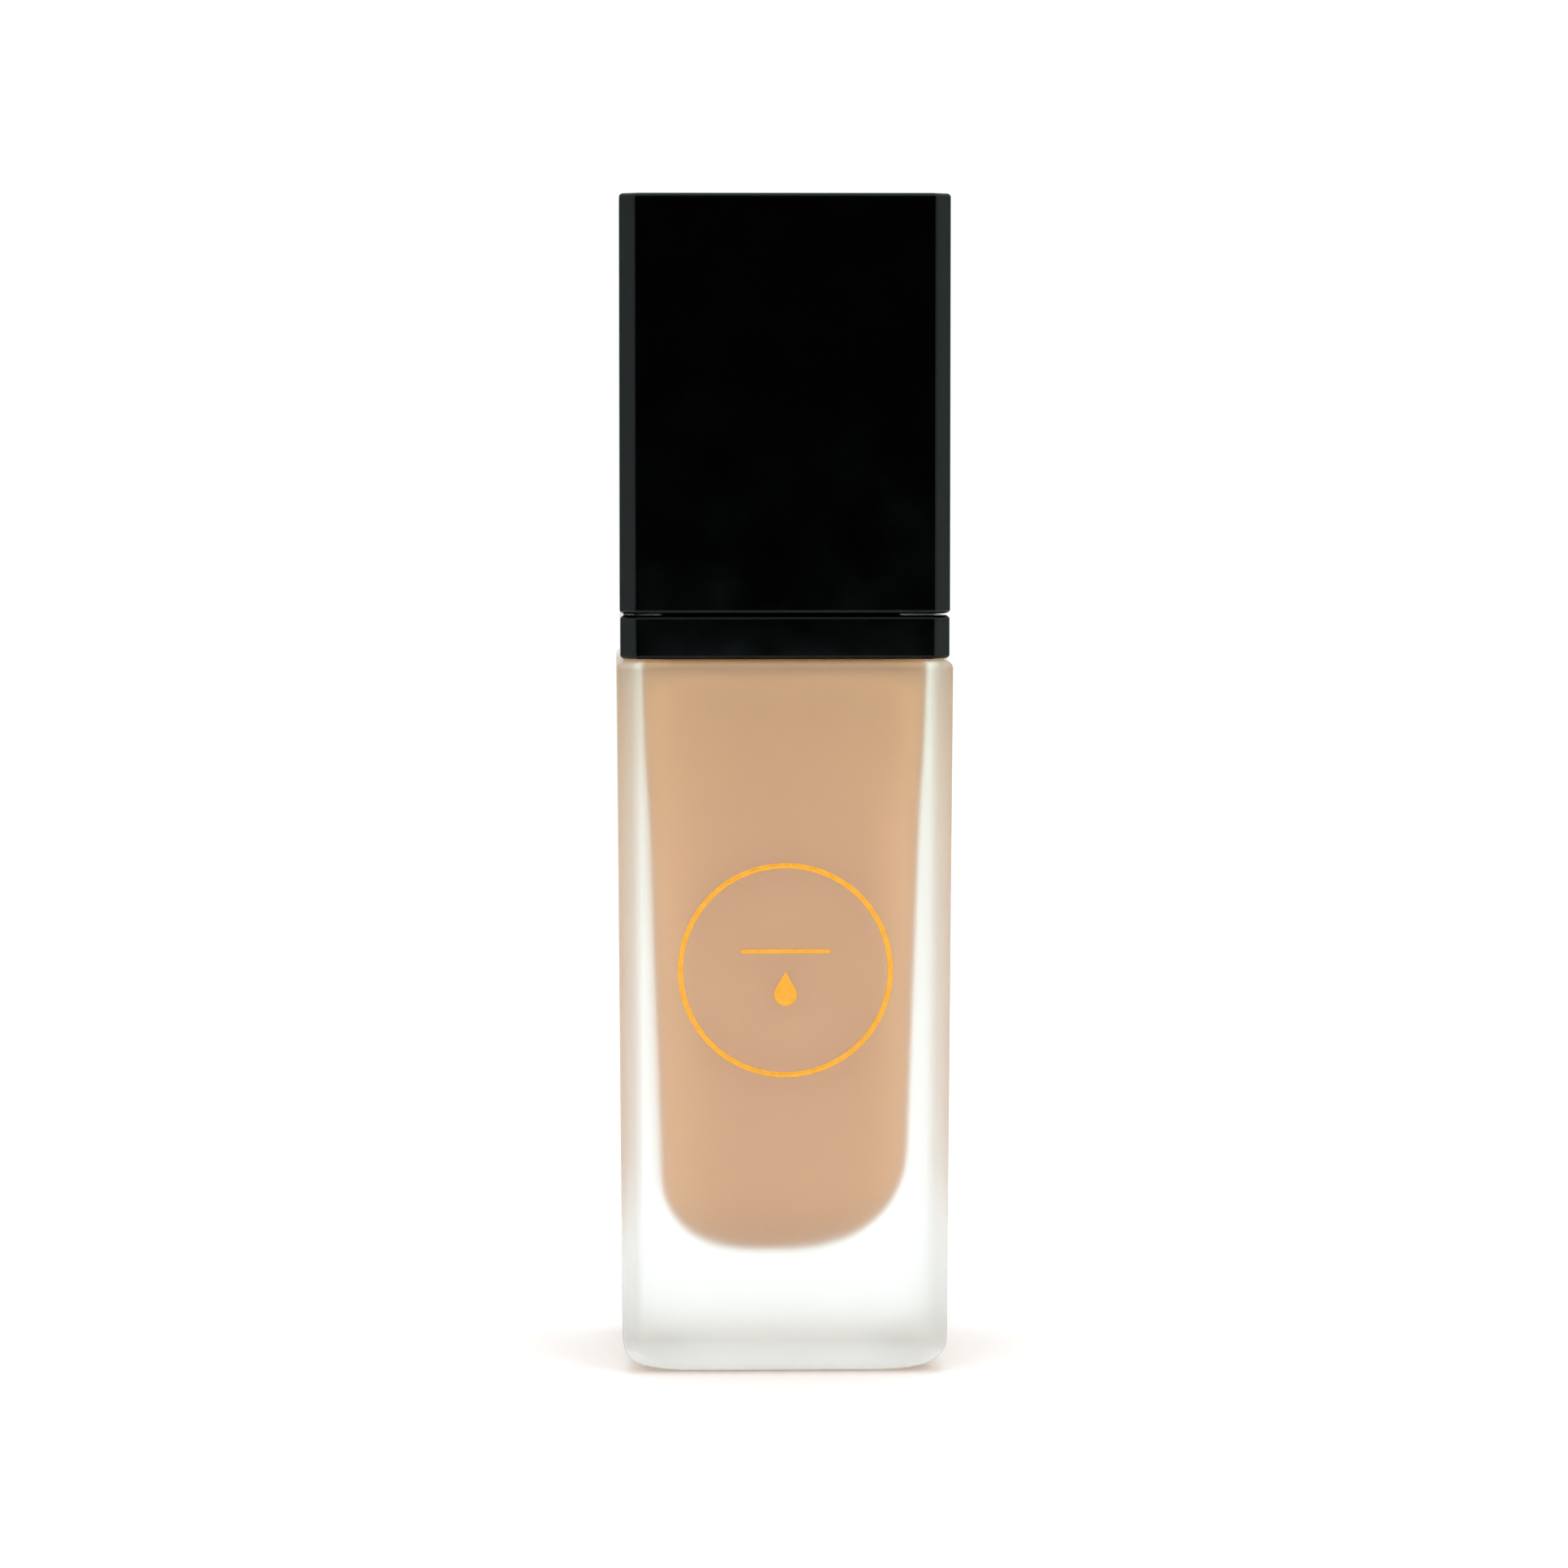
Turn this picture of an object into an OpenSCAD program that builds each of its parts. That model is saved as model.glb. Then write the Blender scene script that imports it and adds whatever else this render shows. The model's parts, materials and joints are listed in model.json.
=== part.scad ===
// Square foundation bottle with a snap-fit treatment pump and a lift-off cap.
// Millimetres. +Z is up, -Y is the front, and the origin is the centre of the flat base.

/* [Glass bottle] */
// Height of the square glass body, from base to shoulder
body_h = 71.3; // [66:0.1:78]
// Width of the glass body at its shoulder
shoulder_w = 33.4; // [32.8:0.1:36]
// Width of the glass body at its base
base_w = 32.4; // [31.4:0.1:33.4]
// Radius of the upright glass edges
edge_r = 1.6; // [1:0.1:3]
// Radius between the glass walls and the base
base_round = 3.5; // [1:0.1:4]
// Thickness of the solid glass under the cavity
base_t = 11.5; // [8:0.1:16]
// Height of the square step that the collar sits over
step_h = 3.3; // [3:0.1:4]
// Height of the round neck above that step
neck_h = 8.4; // [8:0.1:10]

/* [Cavity] */
// Width of the cavity just above its rounded floor
cavity_low_w = 24.1; // [22:0.1:24.6]
// Extra width that the cavity gains towards the shoulder
cavity_flare = 0.4; // [0:0.1:1.2]
// Radius of the cavity floor at its left side
floor_r_left = 7.5; // [4:0.1:10]
// Radius of the cavity floor at its right side
floor_r_right = 10.2; // [4:0.1:11]
// Height of the top of the liquid
fill_z = 72.4; // [40:0.1:72.4]

/* [Cap and collar] */
// Width of the square cap
cap_w = 32.8; // [32.4:0.1:33.4]
// Height of the cap
cap_h = 41.5; // [37:0.1:50]
// Leg of the chamfer on the upright edges of the cap and the collar
corner_c = 1.5; // [0.7:0.1:2]
// Wall of the cap shell
cap_wall = 1.4; // [1:0.1:1.6]
// Width of the square collar
collar_w = 32.7; // [32:0.1:33]
// Height of the collar's visible side
collar_h = 4.3; // [4.2:0.1:5]

/* [Pump] */
// Travel of the pump button
stroke = 4; // [2:0.1:4]
// Travel of the stem through the piston before the piston moves
slip = 0.5; // [0.2:0.05:0.5]
// Lift of the inlet ball
ball_lift = 1; // [0.5:0.1:1]
// Outer diameter of the button
button_d = 15.6; // [14.6:0.1:16]
// Height of the button
button_h = 15.4; // [15:0.1:17]

/* [Print] */
// Outer diameter of the printed ring
ring_d = 21.4; // [12:0.1:24]
// Line width of the printed ring
ring_line = 0.54; // [0.2:0.02:1]
// Height of the ring's centre above the base
ring_z = 40.6; // [20:0.1:50]

/* [Hidden] */
$fn = 72;
fine_fn = 128;    // circles whose outline shows most

// Gaps between pieces: pressed or snapped together, close, sliding, and open to view
press_gap = 0.02;
fit_gap = 0.05;
slide_gap = 0.1;
loose_gap = 0.4;
seam = 0.2;

// Chamfers: on crisp edges, on the cap's level edges, on rims, and on lead-ins
crisp_c = 0.2;
level_c = 0.25;
rim_c = 0.4;
lead_c = 0.6;

// How far a cut runs past the face that it opens
eps = 0.5;

// Glass
shoulder_round = 0.8;
step_w = 30.4;
step_r = 3;
neck_r = 7.8;
neck_bore_r = 5.6;
bead_r = 8.8;
bead_h = 2.4;
bead_slope = 0.8;
punt_w = 20;
punt_depth = 0.5;

// Cavity
cavity_draft = 0.034;   // half-width gained for each millimetre of height
cavity_corner_r = 5.5;
corner_share = 0.45;      // most of the cavity's width that one of its corners may take
floor_r_depth = 8;
flare_start = 55;
flare_end = 63;
roof_round = 3;
roof_z = body_h + 1.7;
fluid_gap = 0.08;

// Heights of the pump stack, from the glass up
step_top = body_h + step_h;
neck_top = step_top + neck_h;
bead_z = neck_top - bead_h;
gasket_t = 0.8;
flange_t = 1.2;
pump_z = neck_top + gasket_t + flange_t;   // top face of the pump's flange
turret_t = 0.8;
turret_z = pump_z + turret_t;
snap_lip_z = turret_z + fit_gap;
snap_lip_t = 1.15;
snap_top = snap_lip_z + snap_lip_t;
collar_lip_t = 0.95;
collar_top = snap_top + fit_gap + collar_lip_t;

// Collar
collar_z = body_h + seam;
deck_top = collar_z + collar_h;
collar_recess_w = 30.7;
collar_recess_c = 1.6;
recess_top = step_top + 0.15;
snap_r = 10.55;
upstand_r = 12;

// Cap
cap_z = deck_top + seam;
cap_top = cap_z + cap_h;
cap_ceiling_t = 2;
shell_inner_w = cap_w - 2 * cap_wall;
shell_inner_c = corner_c - 0.6;
liner_r = 12.1;
liner_wall = 1.3;
liner_plate_t = 1.2;
liner_inset = 0.5;

// Pump cylinder, from its top flange down
flange_r = 8.6;
housing_r = 5.3;
bore_r = 4;
chamber_r = 2.2;
seat_z = pump_z - 22;
inlet_r = 0.9;
inlet_z = seat_z - (chamber_r - inlet_r);
shoulder_z = pump_z - 24;
socket_top = pump_z - 25;
socket_z = pump_z - 30;
socket_wall_r = 3.3;
tube_r = 2;
tube_bore_r = 1.4;
tube_end = base_t + 1.5;
vent_r = 0.4;
vent_z = pump_z - 5;

// Inlet ball, which rests on a 45 degree seat, and the retainer over it
ball_r = 1.6;
ball_z = inlet_z - inlet_r + ball_r * sqrt(2) + press_gap;
bore_z = ball_z + ball_r + ball_lift + slide_gap;
retainer_t = 1.2;

// Stem, rod and piston
stem_r = 2.1;
stem_bore_r = 1.1;
stem_z = pump_z - 6.6;
stem_top = pump_z + 14;
guide_r = stem_r + slide_gap;
stop_r = 2.7;
stop_top = pump_z - 0.65;
piston_h = 4.5;
piston_z = pump_z - 7.8;
stop_z = piston_z + piston_h + slip + fit_gap;
rod_flange_r = 3.2;
rod_flange_z = piston_z - 0.8;
rod_foot_r = 2.1;
rod_foot_z = rod_flange_z - 1.8;

// Turret
turret_r = 7.8;
turret_boss_r = 4.5;
turret_top = pump_z + 4.4;
turret_plug_z = stop_z + 0.25;

// Spring
wire_r = 0.3;
coil_r = 2.8;
spring_z = bore_z + retainer_t + fit_gap;
spring_top = rod_flange_z - fit_gap;
closed_turns = 1;
open_turns = 4.5;
closed_rise = 2 * wire_r * 1.02;
rings_per_turn = 16;
wire_sides = 8;

// Button
button_r = button_d / 2;
button_z = collar_top + stroke + lead_c;
button_top = button_z + button_h;
button_wall = 1.2;
button_edge_c = 0.6;
dish_r = 45;
dish_depth = 0.5;
button_ceiling = button_top - button_wall - dish_depth;
core_r = button_r - button_wall - slide_gap;
core_top = button_ceiling - fit_gap;
core_lid_t = 1;
core_socket_r = 3.5;
core_socket_z = button_z + 1.4;
channel_r = 1.1;

// Spout
spout_r = 2.6;
spout_z = core_top - core_lid_t - slide_gap - fit_gap - spout_r;
spout_y = 10;
spout_boss_r = spout_r + rim_c;
spout_boss_y = core_r - 0.6;
nozzle_plug_r = 1.7;
orifice_r = 0.6;
orifice_l = 1.4;

// Print
print_t = 0.05;
rule_w = 9;
rule_h = 0.42;
rule_rise = 1.9;
drop_r = 1.15;
drop_h = 2.3;
drop_fall = 2.4;

// ---- Outlines ----

// Rectangle with rounded corners, counter-clockwise
function rounded_rect(x0, x1, y0, y1, r, steps = 6) =
  let (centres = [[x1 - r, y1 - r], [x0 + r, y1 - r], [x0 + r, y0 + r], [x1 - r, y0 + r]])
  [for (corner = [0:3]) for (step = [0:steps])
    let (a = 90 * (corner + step / steps))
    centres[corner] + r * [cos(a), sin(a)]];

// Centred square of width w with rounded corners
function rounded_square(w, r) = rounded_rect(-w / 2, w / 2, -w / 2, w / 2, r);

// Centred square of width w whose corners are cut by chamfers of leg c
function chamfered_square(w, c) =
  let (h = w / 2, k = h - c)
  [[h, -k], [h, k], [k, h], [-k, h], [-h, k], [-h, -k], [-k, -h], [k, -h]];

// Drop: a circle of radius r about the origin, drawn out to a point at height h
function drop_outline(r, h, steps = 24) =
  let (a0 = asin(r / h))
  concat([[0, h]], [for (i = [0:steps])
    let (a = 180 - a0 + i * (180 + 2 * a0) / steps)
    r * [cos(a), sin(a)]]);

// 0 below 0, 1 above 1, and an even curve between
function smooth(t) = let (u = min(max(t, 0), 1)) u * u * (3 - 2 * u);

// How far a floor rounding of radius r holds a wall in at height h above the floor
function held_in(r, h) = h >= r ? 0 : r - sqrt(r * r - (r - h) * (r - h));

// Quads between rings of n points each, from ring 0 up to ring last
function skin(n, last) =
  [for (i = [0:last - 1]) for (k = [0:n - 1])
    let (next = (k + 1) % n)
    [i * n + k, (i + 1) * n + k, (i + 1) * n + next, i * n + next]];

// Faces that close the first ring and the last one
function ends(n, last) = [[for (k = [0:n - 1]) k], [for (k = [n - 1:-1:0]) last * n + k]];

// ---- Shared shapes ----

// Closed skin through outlines with equal numbers of points, each at its own height
module loft(outlines, heights) {
  n = len(outlines[0]);
  last = len(outlines) - 1;
  points = [for (i = [0:last]) for (p = outlines[i]) [p[0], p[1], heights[i]]];
  polyhedron(points, concat(ends(n, last), skin(n, last)), convexity = 6);
}

// Solid of revolution about Z through [radius, height] points
module turned(profile) {
  rotate_extrude() polygon(profile);
}

// Straight tube between two heights
module tube(r_out, r_in, z0, z1) {
  turned([[r_in, z0], [r_out, z0], [r_out, z1], [r_in, z1]]);
}

// Chamfered square prism between two heights
module prism(w, c, z0, z1) {
  translate([0, 0, z0]) linear_extrude(z1 - z0) polygon(chamfered_square(w, c));
}

// The same prism with its level edges chamfered as well
module block(w, c, z0, z1) {
  hull() {
    prism(w, c, z0 + level_c, z1 - level_c);
    prism(w - 2 * level_c, c, z0, z1);
  }
}

// Plain cylinder between two heights
module bore(r, z0, z1) {
  translate([0, 0, z0]) cylinder(r = r, h = z1 - z0);
}

// Plain cylinder that lies along -Y at height z, from y0 to y1 in front of the axis
module front_bore(r, z, y0, y1) {
  translate([0, -y0, z]) rotate([90, 0, 0]) cylinder(r = r, h = y1 - y0);
}

// Copies of a piece, evenly spaced about Z
module around(count, start = 0) {
  for (i = [0:count - 1]) rotate([0, 0, start + i * 360 / count]) children();
}

// ---- Glass and liquid ----

function glass_half(z) = (base_w + (shoulder_w - base_w) * z / body_h) / 2;

// Square body with a rounded base edge, a slight taper and a softened shoulder
module glass_body() {
  low = [for (a = [0:15:90]) [base_round * (1 - cos(a)), base_round * (1 - sin(a))]];
  high = [for (a = [0:22.5:90])
    [body_h - shoulder_round * (1 - sin(a)), shoulder_round * (1 - cos(a))]];
  levels = concat(low, high);
  loft(
    [for (l = levels) rounded_square(2 * (glass_half(l[0]) - l[1]), edge_r + l[1])],
    [for (l = levels) l[0]]
  );
}

function cavity_half(z) =
  cavity_low_w / 2 + (z - base_t) * cavity_draft
  + cavity_flare / 2 * smooth((z - flare_start) / (flare_end - flare_start));

// Outline of the cavity at height z, held in by inset at every side
function cavity_outline(z, inset) =
  let (
    h = z - base_t,
    half = cavity_half(z) - inset,
    x0 = -half + held_in(floor_r_left, h),
    x1 = half - held_in(floor_r_right, h),
    y1 = half - held_in(floor_r_depth, h),
    r = min(cavity_corner_r, corner_share * (x1 - x0), 2 * corner_share * y1)
  )
  rounded_rect(x0, x1, -y1, y1, r);

// Inside of the bottle. The blown floor is rounder on the right than on the left.
module cavity(shrink = 0) {
  floor_r = max(floor_r_left, floor_r_right);
  wall_low = base_t + floor_r;
  wall_high = roof_z - roof_round;
  wall_steps = 14;
  low = [for (a = [0:10:90]) [base_t + floor_r * (1 - cos(a)), 0]];
  walls = [for (i = [1:wall_steps - 1]) [wall_low + (wall_high - wall_low) * i / wall_steps, 0]];
  high = [for (a = [0:15:90])
    [wall_high + (roof_round - shrink) * sin(a), roof_round * (1 - cos(a))]];
  levels = concat(low, walls, high);
  loft(
    [for (l = levels) cavity_outline(l[0], l[1] + shrink)],
    [for (l = levels) l[0] + shrink * max(0, 1 - (l[0] - base_t) / floor_r)]
  );
}

module glass_bottle() {
  color("white", 0.5) difference() {
    union() {
      glass_body();
      translate([0, 0, body_h - shoulder_round])
      linear_extrude(step_h + shoulder_round) polygon(rounded_square(step_w, step_r));
      turned([
        [0, body_h], [neck_r, body_h], [neck_r, bead_z - bead_slope], [bead_r, bead_z],
        [bead_r, neck_top - lead_c], [bead_r - rim_c, neck_top], [0, neck_top]
      ]);
    }
    cavity();
    bore(neck_bore_r, roof_z - eps, neck_top + eps);
    translate([0, 0, -eps])
    linear_extrude(punt_depth + eps) polygon(rounded_square(punt_w, step_r));
  }
}

// Liquid up to its level, with room for the pump cylinder and the dip tube
module foundation_fluid() {
  color("burlywood") difference() {
    cavity(shrink = fluid_gap);
    translate([-base_w / 2, -base_w / 2, fill_z]) cube([base_w, base_w, roof_z]);
    bore(housing_r + slide_gap, shoulder_z - lead_c - slide_gap, fill_z + eps);
    bore(socket_wall_r + slide_gap, socket_z - slide_gap, shoulder_z);
    bore(tube_r + slide_gap, tube_end - slide_gap, socket_z);
  }
}

// Fired-on print on the tapered front face: a ring, a short rule and a drop
module front_print() {
  face_tilt = atan((shoulder_w - base_w) / 2 / body_h);
  color("orange")
  translate([0, -glass_half(ring_z), ring_z]) rotate([90 + face_tilt, 0, 0])
  translate([0, 0, press_gap]) {
    linear_extrude(print_t) difference() {
      circle(d = ring_d, $fn = fine_fn);
      circle(d = ring_d - 2 * ring_line, $fn = fine_fn);
    }
    linear_extrude(print_t) translate([0, rule_rise]) square([rule_w, rule_h], center = true);
    linear_extrude(print_t) translate([0, -drop_fall]) polygon(drop_outline(drop_r, drop_h));
  }
}

// ---- Closure ----

// Flat elastomer ring between the glass and the pump's flange
module neck_gasket() {
  color("gainsboro")
  tube(bead_r - rim_c, neck_bore_r + slide_gap, neck_top, neck_top + gasket_t);
}

// Ring whose slit skirt hooks under the glass bead and clamps the pump's flange down
module snap_ring() {
  wall_r = bead_r + 0.15;
  lip_r = turret_boss_r + 1.5;
  hook_r = neck_r + 0.2;
  hook_top = bead_z - 1;
  hook_z = hook_top - 1.3;
  skirt_r = bead_r - level_c;
  skirt_z = step_top + rim_c;
  slits = 8;
  slit_w = 1.2;
  color("whitesmoke") difference() {
    turned([
      [skirt_r, skirt_z], [snap_r, skirt_z], [snap_r, snap_top], [lip_r, snap_top],
      [lip_r, snap_lip_z], [wall_r, snap_lip_z], [wall_r, bead_z], [hook_r, hook_top],
      [hook_r, hook_z]
    ]);
    around(slits, start = 180 / slits)
    translate([neck_r, -slit_w / 2, skirt_z - eps]) cube([snap_r, slit_w, bead_z - skirt_z + eps]);
  }
}

// Square shoulder ring with the round upstand that the cap grips
module square_collar() {
  rim_z = collar_top - rim_c;
  color([0.02, 0.02, 0.025]) difference() {
    union() {
      block(collar_w, corner_c, collar_z, deck_top);
      bore(upstand_r, deck_top - eps, rim_z);
      translate([0, 0, rim_z]) cylinder(r1 = upstand_r, r2 = upstand_r - rim_c, h = rim_c);
    }
    prism(collar_recess_w, collar_recess_c, collar_z - eps, recess_top);
    bore(snap_r + fit_gap, collar_z, snap_top + fit_gap);
    bore(turret_r + loose_gap, collar_z, collar_top + eps);
  }
}

// ---- Pump, fixed pieces ----

// Cylinder with its top flange, inlet valve seat and dip tube socket
module pump_housing() {
  socket_r = tube_r + press_gap;
  flange_z = pump_z - flange_t;
  color("white") difference() {
    turned([
      [0, socket_z], [socket_wall_r, socket_z], [socket_wall_r, shoulder_z - lead_c],
      [housing_r - lead_c, shoulder_z], [housing_r, shoulder_z + lead_c], [housing_r, flange_z],
      [flange_r, flange_z], [flange_r, pump_z], [0, pump_z]
    ]);
    turned([
      [0, socket_z - eps], [socket_r, socket_z - eps], [socket_r, socket_top],
      [inlet_r, socket_top], [inlet_r, inlet_z], [chamber_r, seat_z], [chamber_r, bore_z],
      [bore_r, bore_z], [bore_r, pump_z + eps], [0, pump_z + eps]
    ]);
    front_bore(vent_r, vent_z, 0, housing_r + eps);
  }
}

// Straight suction tube, cut at a slant at its foot
module dip_tube() {
  slant = 30;
  cut = 4 * tube_r;
  color("whitesmoke") difference() {
    tube(tube_r, tube_bore_r, tube_end, socket_top);
    translate([0, 0, tube_end]) rotate([0, slant, 0]) translate([-cut / 2, -cut / 2, -cut])
    cube(cut);
  }
}

// Pierced disc that keeps the ball under the spring
module ball_retainer() {
  hole_r = 0.6;
  hole_at = 1.3;
  color("white") difference() {
    bore(bore_r - fit_gap, bore_z, bore_z + retainer_t);
    around(3) translate([hole_at, 0, 0]) bore(hole_r, bore_z - eps, bore_z + retainer_t + eps);
  }
}

// Flanged guide that closes the cylinder and carries the stem
module turret() {
  stop_room_r = stop_r + 0.2;
  plug_r = bore_r - fit_gap;
  guide_z = stop_top + fit_gap;
  color("white") turned([
    [stop_room_r, turret_plug_z], [plug_r, turret_plug_z], [plug_r, pump_z], [turret_r, pump_z],
    [turret_r, turret_z], [turret_boss_r, turret_z], [turret_boss_r, turret_top - rim_c],
    [turret_boss_r - rim_c, turret_top], [guide_r, turret_top], [guide_r, guide_z],
    [stop_room_r, guide_z]
  ]);
}

// Height of the wire's centre after some number of turns: closed ends, open middle
function wire_height(turn) =
  let (
    rise = spring_top - spring_z - 2 * wire_r,
    open_rise = (rise - 2 * closed_turns * closed_rise) / open_turns,
    in_open = min(max(turn - closed_turns, 0), open_turns)
  )
  spring_z + wire_r + (turn - in_open) * closed_rise + in_open * open_rise;

// Stainless return spring, under the rod's flange
module return_spring() {
  rings = (2 * closed_turns + open_turns) * rings_per_turn;
  points = [for (i = [0:rings]) for (s = [0:wire_sides - 1])
    let (
      turn = i / rings_per_turn,
      a = 360 * turn,
      b = 360 * s / wire_sides,
      r = coil_r + wire_r * cos(b)
    )
    [r * cos(a), r * sin(a), wire_height(turn) + wire_r * sin(b)]];
  color("silver")
  polyhedron(points, concat(ends(wire_sides, rings), skin(wire_sides, rings)), convexity = 10);
}

// ---- Pump, moving pieces ----

module check_ball() {
  color("silver") translate([0, 0, ball_z]) sphere(r = ball_r);
}

// Hollow stem with a stop ring, and a slot through its foot where the liquid enters
module pump_stem() {
  slot_w = 1;
  slot_h = 1.6;
  reach = stem_r + eps;
  color("whitesmoke") difference() {
    turned([
      [stem_bore_r, stem_z], [stem_r, stem_z], [stem_r, stop_z], [stop_r, stop_z],
      [stop_r, stop_top], [stem_r, stop_top], [stem_r, stem_top], [stem_bore_r, stem_top]
    ]);
    translate([-reach, -slot_w / 2, stem_z - eps]) cube([2 * reach, slot_w, slot_h + eps]);
  }
}

// Rod in the foot of the stem: its flange shuts the piston's lower lip and takes the spring
module piston_rod() {
  seat_top = piston_z - fit_gap;
  rod_neck_r = stem_r - 0.2;
  rod_neck_top = stem_z - fit_gap;
  shank_w = 1.3;
  shank_top = stem_z + 3.4;
  color("ghostwhite") {
    turned([
      [0, rod_foot_z], [rod_foot_r - rim_c, rod_foot_z], [rod_foot_r, rod_foot_z + rim_c],
      [rod_foot_r, rod_flange_z], [rod_flange_r, rod_flange_z], [rod_flange_r, seat_top],
      [rod_neck_r, seat_top], [rod_neck_r, rod_neck_top], [0, rod_neck_top]
    ]);
    intersection() {
      bore(stem_bore_r - press_gap, rod_neck_top - eps, shank_top);
      translate([-shank_w / 2, -stem_r, rod_foot_z])
      cube([shank_w, 2 * stem_r, shank_top - rod_foot_z]);
    }
  }
}

// Soft piston with a thin sealing lip at each end
module piston_seal() {
  inner_r = stem_r + fit_gap;
  outer_r = bore_r - fit_gap;
  waist_r = outer_r - 0.5;
  lip = 1;
  top = piston_z + piston_h;
  color("lightgray") turned([
    [inner_r, piston_z], [outer_r - crisp_c - 2 * rim_c, piston_z],
    [outer_r - crisp_c - rim_c, piston_z + lead_c], [outer_r - crisp_c, piston_z],
    [outer_r, piston_z], [outer_r, piston_z + lip], [waist_r, piston_z + lip + rim_c],
    [waist_r, top - lip - rim_c], [outer_r, top - lip], [outer_r, top], [inner_r, top]
  ]);
}

// Glossy outer cup of the button, with a finger dish and a window for the spout
module actuator_shell() {
  window_r = spout_r + slide_gap;
  color([0.02, 0.02, 0.025]) difference() {
    turned([
      [0, button_z], [button_r - crisp_c, button_z], [button_r, button_z + crisp_c],
      [button_r, button_top - button_edge_c], [button_r - button_edge_c, button_top],
      [0, button_top]
    ]);
    bore(button_r - button_wall, button_z - eps, button_ceiling);
    translate([0, 0, button_top - dish_depth + dish_r]) sphere(r = dish_r, $fn = fine_fn);
    front_bore(window_r, spout_z, spout_boss_y, button_r + eps);
  }
}

// Inner body of the button: a socket on the stem, a lid and the turn into the spout
module actuator_core() {
  socket_r = stem_r + press_gap;
  color("dimgray") difference() {
    union() {
      bore(core_socket_r, core_socket_z, core_top);
      bore(core_r, core_top - core_lid_t, core_top);
      front_bore(spout_boss_r, spout_z, 0, spout_boss_y);
    }
    bore(socket_r, core_socket_z - eps, stem_top + fit_gap);
    bore(channel_r, stem_top, spout_z);
    front_bore(channel_r, spout_z, 0, spout_boss_y);
    front_bore(nozzle_plug_r + press_gap, spout_z, core_socket_r, spout_boss_y + eps);
  }
}

// Spout pushed into the core through the window of the shell
module nozzle_insert() {
  plug_y = core_socket_r + slide_gap;
  body_y = spout_boss_y + slide_gap;
  tip_y = spout_y - rim_c;
  color([0.03, 0.03, 0.035]) difference() {
    union() {
      front_bore(nozzle_plug_r, spout_z, plug_y, body_y + eps);
      front_bore(spout_r, spout_z, body_y, tip_y);
      translate([0, -tip_y, spout_z]) rotate([90, 0, 0])
      cylinder(r1 = spout_r, r2 = spout_r - rim_c, h = rim_c);
    }
    front_bore(orifice_r, spout_z, plug_y - eps, spout_y + eps);
    front_bore(channel_r, spout_z, plug_y - eps, spout_y - orifice_l);
  }
}

// ---- Cap ----

// Outer shell of the cap
module overcap_shell() {
  color([0.01, 0.01, 0.012]) difference() {
    block(cap_w, corner_c, cap_z, cap_top);
    prism(shell_inner_w, shell_inner_c, cap_z - eps, cap_top - cap_ceiling_t);
  }
}

// Round sleeve that grips the collar, held in the square shell by two plates and four ribs
module overcap_liner() {
  plate_w = shell_inner_w - 2 * fit_gap;
  z0 = cap_z + liner_inset;
  z1 = cap_top - cap_ceiling_t - fit_gap;
  rib_t = 1.1;
  rib_start = liner_r + eps;
  rib_end = (plate_w - shell_inner_c) / sqrt(2) - slide_gap;
  color("whitesmoke") difference() {
    union() {
      prism(plate_w, shell_inner_c, z0, z0 + liner_plate_t);
      prism(plate_w, shell_inner_c, z1 - liner_plate_t, z1);
      bore(liner_r + liner_wall, z0, z1);
      around(4, start = 45)
      translate([rib_start, -rib_t / 2, z0]) cube([rib_end - rib_start, rib_t, z1 - z0]);
    }
    bore(liner_r, z0 - eps, z1 - liner_plate_t);
  }
}

glass_bottle();
foundation_fluid();
front_print();
neck_gasket();
snap_ring();
square_collar();
pump_housing();
dip_tube();
ball_retainer();
turret();
return_spring();
check_ball();
pump_stem();
piston_rod();
piston_seal();
actuator_shell();
actuator_core();
nozzle_insert();
overcap_shell();
overcap_liner();
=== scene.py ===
"""A frosted glass foundation bottle in a white studio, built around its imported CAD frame.

The scene is in metres, with +Z up and -Y the front. Lengths written in this script are in
millimetres unless a comment says otherwise, and turn into metres where points, places, sizes
of lights and distances in shaders are made.
"""

import json
import math

import bmesh
import bpy
import numpy as np
from mathutils import Matrix, Vector


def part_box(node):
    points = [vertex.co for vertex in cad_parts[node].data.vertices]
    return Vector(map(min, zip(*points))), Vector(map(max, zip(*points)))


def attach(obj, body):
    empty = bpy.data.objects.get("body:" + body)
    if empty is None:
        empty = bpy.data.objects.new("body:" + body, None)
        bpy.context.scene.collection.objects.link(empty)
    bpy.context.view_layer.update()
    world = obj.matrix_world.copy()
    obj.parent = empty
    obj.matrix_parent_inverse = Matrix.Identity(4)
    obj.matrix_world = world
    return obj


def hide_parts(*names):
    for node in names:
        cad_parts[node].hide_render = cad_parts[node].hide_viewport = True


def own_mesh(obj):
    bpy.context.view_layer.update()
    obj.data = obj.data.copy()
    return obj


MM = 0.001
SAME_POINT = 1e-7       # metres within which two points of a mesh count as one

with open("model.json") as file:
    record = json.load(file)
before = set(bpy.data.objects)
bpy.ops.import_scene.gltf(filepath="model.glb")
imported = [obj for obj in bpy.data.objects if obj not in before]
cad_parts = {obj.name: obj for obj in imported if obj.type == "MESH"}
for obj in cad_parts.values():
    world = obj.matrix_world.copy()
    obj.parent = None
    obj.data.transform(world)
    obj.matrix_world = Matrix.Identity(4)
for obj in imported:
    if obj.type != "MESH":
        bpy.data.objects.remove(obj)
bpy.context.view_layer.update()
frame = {"nodes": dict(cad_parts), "record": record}


def spans(name):
    """The lowest and highest corner of a CAD node, in millimetres."""
    low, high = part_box(name)
    return low / MM, high / MM


# ---- The outside of the glass, which its shape and its material both follow ----

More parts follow.
